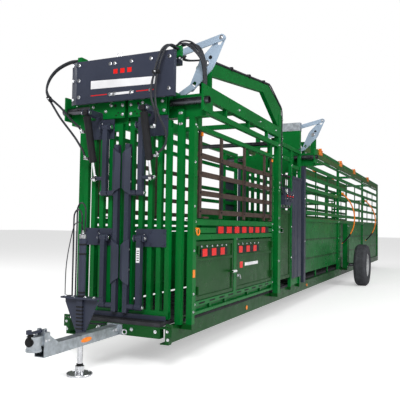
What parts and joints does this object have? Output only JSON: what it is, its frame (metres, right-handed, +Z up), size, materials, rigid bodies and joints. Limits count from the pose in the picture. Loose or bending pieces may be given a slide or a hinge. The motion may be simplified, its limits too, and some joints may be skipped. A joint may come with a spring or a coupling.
{
  "type": "cattle squeeze chute",
  "caption": "Trailer-mounted hydraulic cattle squeeze chute with sliding head gate, neck bars, squeeze sides, palpation cage, tail gate and a wheeled alley.",
  "frame": {"origin": "on the ground under the middle of the machine's bounding box", "axes": "+Z up, +Y along the machine towards the alley entrance, -Y is the head gate and tongue end, +X the operator's side"},
  "size_m": [1.851, 13.485, 2.6885],
  "materials": {
    "green_paint": "gloss enamel",
    "dark_paint": "satin powder coat",
    "link_paint": "blue-grey paint",
    "orange_paint": "gloss",
    "galvanised": "hot-dip galvanised",
    "zinc": "bright zinc",
    "rod_chrome": "polished",
    "slide_steel": "dark steel",
    "slat_rubber": "matt dark brown",
    "hose_rubber": "satin black",
    "tyre_rubber": "matt",
    "floor_rubber": "ribbed matt",
    "knob_plastic": "gloss",
    "coupler_cast": "zinc plated"
  },
  "bodies": {
    "frame": {"base_frame": "green_paint", "floor_deck": "floor_rubber", "posts": "green_paint", "head_header": "green_paint", "slide_tubes": "slide_steel", "sign_panel": "dark_paint", "frame_bolts": "zinc", "squeeze_rails": "green_paint", "hose_boom": "green_paint", "boom_hoses": "hose_rubber", "valve_bank": "dark_paint", "palpation_frame": "green_paint", "tail_header": "green_paint", "power_box": "galvanised", "alley_sides": "green_paint", "alley_arches": "green_paint", "alley_cleats": "orange_paint", "axle_brackets": "green_paint", "stub_axles": "slide_steel", "tongue_beam": "galvanised", "coupler": "coupler_cast", "jack_tube": "dark_paint"},
    "head_left": {"head_leaf_left": "green_paint", "hose_left": "hose_rubber"},
    "head_right": {"head_leaf_right": "green_paint", "hose_right": "hose_rubber"},
    "head_rocker": {"rocker_front": "link_paint"},
    "tail_left": {"tail_leaf_left": "green_paint"},
    "tail_right": {"tail_leaf_right": "green_paint"},
    "tail_rocker": {"rocker_rear": "link_paint"},
    "side_left": {"squeeze_side_left": "green_paint"},
    "side_right": {"squeeze_side_right": "green_paint"},
    "drop_left": {"side_slats_left": "slat_rubber"},
    "drop_right": {"side_slats_right": "slat_rubber"},
    "front_door": {"door_front": "green_paint"},
    "rear_door": {"door_rear": "green_paint"},
    "cage_door": {"palpation_door": "green_paint"},
    "stop_1": {"stop_gate_1": "green_paint", "stop_handle_1": "orange_paint"},
    "stop_2": {"stop_gate_2": "green_paint", "stop_handle_2": "orange_paint"},
    "wheel_left": {"rim_left": "galvanised", "tyre_left": "tyre_rubber"},
    "wheel_right": {"rim_right": "galvanised", "tyre_right": "tyre_rubber"},
    "jack": {"jack_leg": "zinc"},
    "latch": {"coupler_latch": "dark_paint"},
    "lever_1": {"valve_lever_1": "knob_plastic"},
    "lever_2": {"valve_lever_2": "knob_plastic"},
    "lever_3": {"valve_lever_3": "knob_plastic"},
    "neck_upper_left": {"neck_upper_link_left": "dark_paint"},
    "neck_lower_left": {"neck_lower_link_left": "dark_paint"},
    "neck_bar_left": {"neck_bar_left": "dark_paint"},
    "neck_barrel_left": {"neck_barrel_left": "dark_paint"},
    "neck_rod_left": {"neck_rod_left": "rod_chrome"},
    "neck_upper_right": {"neck_upper_link_right": "dark_paint"},
    "neck_lower_right": {"neck_lower_link_right": "dark_paint"},
    "neck_bar_right": {"neck_bar_right": "dark_paint"},
    "neck_barrel_right": {"neck_barrel_right": "dark_paint"},
    "neck_rod_right": {"neck_rod_right": "rod_chrome"}
  },
  "joints": [
    {"name": "head_gate_open", "type": "slide", "parent": "frame", "child": "head_left", "axis": [-1, 0, 0], "range_m": [0, 0.2691]},
    {"name": "head_right_slide", "type": "slide", "parent": "frame", "child": "head_right", "axis": [1, 0, 0], "range_m": [0, 0.2693]},
    {"name": "head_rocker_turn", "type": "hinge", "parent": "frame", "child": "head_rocker", "pos_m": [0.59, -5.4025, 2.42], "axis": [0, -1, 0], "range_deg": [0, 69.93]},
    {"name": "tail_gate_open", "type": "slide", "parent": "frame", "child": "tail_left", "axis": [-1, 0, 0], "range_m": [0, 0.2691]},
    {"name": "tail_right_slide", "type": "slide", "parent": "frame", "child": "tail_right", "axis": [1, 0, 0], "range_m": [0, 0.2693]},
    {"name": "tail_rocker_turn", "type": "hinge", "parent": "frame", "child": "tail_rocker", "pos_m": [0.59, -1.7025, 2.42], "axis": [0, -1, 0], "range_deg": [0, 69.93]},
    {"name": "neck_extend", "type": "hinge", "parent": "head_left", "child": "neck_upper_left", "pos_m": [-0.17, -5.7075, 1.89], "axis": [-1, 0, 0], "range_deg": [0, 35]},
    {"name": "neck_lower_left_turn", "type": "hinge", "parent": "head_left", "child": "neck_lower_left", "pos_m": [-0.17, -5.7075, 0.99], "axis": [-1, 0, 0], "range_deg": [0, 35.1]},
    {"name": "neck_bar_left_turn", "type": "hinge", "parent": "neck_upper_left", "child": "neck_bar_left", "pos_m": [-0.17, -5.7075, 1.35], "axis": [-1, 0, 0], "range_deg": [-35.1, 0]},
    {"name": "neck_barrel_left_turn", "type": "hinge", "parent": "head_left", "child": "neck_barrel_left", "pos_m": [-0.265, -5.8475, 1.99], "axis": [-1, 0, 0], "range_deg": [0, 27.97]},
    {"name": "neck_rod_left_slide", "type": "slide", "parent": "neck_barrel_left", "child": "neck_rod_left", "axis": [0, -0.26, 0.9656], "range_m": [0, 0.0837]},
    {"name": "neck_upper_right_turn", "type": "hinge", "parent": "head_right", "child": "neck_upper_right", "pos_m": [0.17, -5.7075, 1.89], "axis": [-1, 0, 0], "range_deg": [0, 35.1]},
    {"name": "neck_lower_right_turn", "type": "hinge", "parent": "head_right", "child": "neck_lower_right", "pos_m": [0.17, -5.7075, 0.99], "axis": [-1, 0, 0], "range_deg": [0, 35.1]},
    {"name": "neck_bar_right_turn", "type": "hinge", "parent": "neck_upper_right", "child": "neck_bar_right", "pos_m": [0.17, -5.7075, 1.35], "axis": [-1, 0, 0], "range_deg": [-35.1, 0]},
    {"name": "neck_barrel_right_turn", "type": "hinge", "parent": "head_right", "child": "neck_barrel_right", "pos_m": [0.265, -5.8475, 1.99], "axis": [-1, 0, 0], "range_deg": [0, 27.97]},
    {"name": "neck_rod_right_slide", "type": "slide", "parent": "neck_barrel_right", "child": "neck_rod_right", "axis": [0, -0.26, 0.9656], "range_m": [0, 0.0837]},
    {"name": "squeeze_in", "type": "slide", "parent": "frame", "child": "side_right", "axis": [-1, 0, 0], "range_m": [0, 0.2]},
    {"name": "side_left_slide", "type": "slide", "parent": "frame", "child": "side_left", "axis": [1, 0, 0], "range_m": [0, 0.2005]},
    {"name": "drop_right_turn", "type": "hinge", "parent": "side_right", "child": "drop_right", "pos_m": [0.514, -4.3675, 1.165], "axis": [0, -1, 0], "range_deg": [-150, 0]},
    {"name": "drop_left_turn", "type": "hinge", "parent": "side_left", "child": "drop_left", "pos_m": [-0.514, -4.3675, 1.165], "axis": [0, 1, 0], "range_deg": [-150, 0]},
    {"name": "front_door_turn", "type": "hinge", "parent": "side_right", "child": "front_door", "pos_m": [0.518, -5.3555, 0.73], "axis": [0, 0, -1], "range_deg": [0, 100]},
    {"name": "rear_door_turn", "type": "hinge", "parent": "side_right", "child": "rear_door", "pos_m": [0.518, -3.3795, 0.73], "axis": [0, 0, 1], "range_deg": [0, 100]},
    {"name": "cage_door_turn", "type": "hinge", "parent": "frame", "child": "cage_door", "pos_m": [0.494, -3.0935, 0.9], "axis": [0, 0, 1], "range_deg": [-110, 0]},
    {"name": "stop_1_turn", "type": "hinge", "parent": "frame", "child": "stop_1", "pos_m": [0, 1.1825, 1.75], "axis": [-1, 0, 0], "range_deg": [0, 60]},
    {"name": "stop_2_turn", "type": "hinge", "parent": "frame", "child": "stop_2", "pos_m": [0, 4.1825, 1.75], "axis": [-1, 0, 0], "range_deg": [0, 60]},
    {"name": "wheel_left_spin", "type": "hinge", "parent": "frame", "child": "wheel_left", "pos_m": [-0.808, 1.4325, 0.39], "axis": [1, 0, 0], "continuous": true},
    {"name": "wheel_right_spin", "type": "hinge", "parent": "frame", "child": "wheel_right", "pos_m": [0.808, 1.4325, 0.39], "axis": [1, 0, 0], "continuous": true},
    {"name": "jack_extend", "type": "slide", "parent": "frame", "child": "jack", "axis": [0, 0, -1], "range_m": [0, 0.2]},
    {"name": "latch_lift", "type": "hinge", "parent": "frame", "child": "latch", "pos_m": [0, -6.6075, 0.406], "axis": [-1, 0, 0], "range_deg": [0, 70]},
    {"name": "lever_1_push", "type": "hinge", "parent": "frame", "child": "lever_1", "pos_m": [0.55, -3.0275, 1.56], "axis": [0, 1, 0], "range_deg": [-20, 20], "stiffness_Nm_per_rad": 6},
    {"name": "lever_2_push", "type": "hinge", "parent": "frame", "child": "lever_2", "pos_m": [0.55, -2.9075, 1.56], "axis": [0, 1, 0], "range_deg": [-20, 20], "stiffness_Nm_per_rad": 6},
    {"name": "lever_3_push", "type": "hinge", "parent": "frame", "child": "lever_3", "pos_m": [0.55, -2.7875, 1.56], "axis": [0, 1, 0], "range_deg": [-20, 20], "stiffness_Nm_per_rad": 6}
  ],
  "couplings": [
    {"joint": "head_right_slide", "follows": "head_gate_open", "ratio": 1},
    {"joint": "head_rocker_turn", "follows": "head_gate_open", "rad_per_m": 4.532},
    {"joint": "tail_right_slide", "follows": "tail_gate_open", "ratio": 1},
    {"joint": "tail_rocker_turn", "follows": "tail_gate_open", "rad_per_m": 4.532},
    {"joint": "neck_lower_left_turn", "follows": "neck_extend", "ratio": 1},
    {"joint": "neck_bar_left_turn", "follows": "neck_extend", "ratio": -1},
    {"joint": "neck_barrel_left_turn", "follows": "neck_extend", "ratio": 0.7963},
    {"joint": "neck_rod_left_slide", "follows": "neck_extend", "m_per_rad": 0.13612},
    {"joint": "neck_upper_right_turn", "follows": "neck_extend", "ratio": 1},
    {"joint": "neck_lower_right_turn", "follows": "neck_extend", "ratio": 1},
    {"joint": "neck_bar_right_turn", "follows": "neck_extend", "ratio": -1},
    {"joint": "neck_barrel_right_turn", "follows": "neck_extend", "ratio": 0.7963},
    {"joint": "neck_rod_right_slide", "follows": "neck_extend", "m_per_rad": 0.13612},
    {"joint": "side_left_slide", "follows": "squeeze_in", "ratio": 1}
  ]
}
